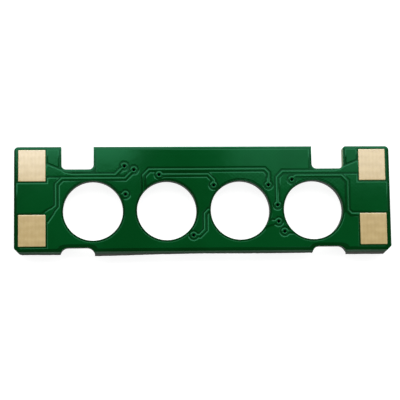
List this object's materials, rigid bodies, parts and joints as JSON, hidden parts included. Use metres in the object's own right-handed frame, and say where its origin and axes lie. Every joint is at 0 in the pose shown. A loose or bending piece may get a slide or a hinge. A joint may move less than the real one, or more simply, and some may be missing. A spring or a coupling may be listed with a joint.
{
  "type": "toner cartridge chip",
  "caption": "Small green circuit board that identifies a toner cartridge, with gold contacts at both ends, a row of round holes, notched edges and a memory chip soldered to its back.",
  "frame": {"origin": "middle of the board's footprint, at the level of the flat outer face of the memory chip that the board lies on", "axes": "+X along the row of holes, +Y towards the edge with the deep notches, +Z out of the contact side"},
  "size_m": [0.04, 0.0116, 0.0021],
  "materials": {
    "laminate": "cut and snapped glass and epoxy laminate",
    "mask": "dark green solder mask on laminate",
    "coated_copper": "copper under a coat of green solder mask",
    "gold": "gold plating on bare pads",
    "via_copper": "copper plated tube",
    "mould": "black moulded body",
    "tin": "tin plating",
    "solder": "bright solder",
    "capacitor_ceramic": "fired brown ceramic",
    "resistor_ceramic": "white ceramic with a dark glaze over the resistor film"
  },
  "bodies": {
    "root": {"back_copper": "coated_copper", "back_mask": "mask", "board_core": "laminate", "capacitor_body": "capacitor_ceramic", "capacitor_caps": "tin", "chip_joints": "solder", "first_test_net": "coated_copper", "fourth_test_net": "coated_copper", "front_ground": "coated_copper", "front_mask": "mask", "link_net": "coated_copper", "long_net": "coated_copper", "lower_left_contact": "gold", "lower_left_net": "coated_copper", "lower_right_contact": "gold", "lower_right_net": "coated_copper", "memory_body": "mould", "memory_joints": "solder", "memory_leads": "tin", "resistor_body": "resistor_ceramic", "resistor_caps": "tin", "second_test_net": "coated_copper", "third_test_net": "coated_copper", "upper_left_contact": "gold", "upper_left_net": "coated_copper", "upper_right_contact": "gold", "upper_right_net": "coated_copper", "via_barrels": "via_copper"}
  },
  "joints": []
}
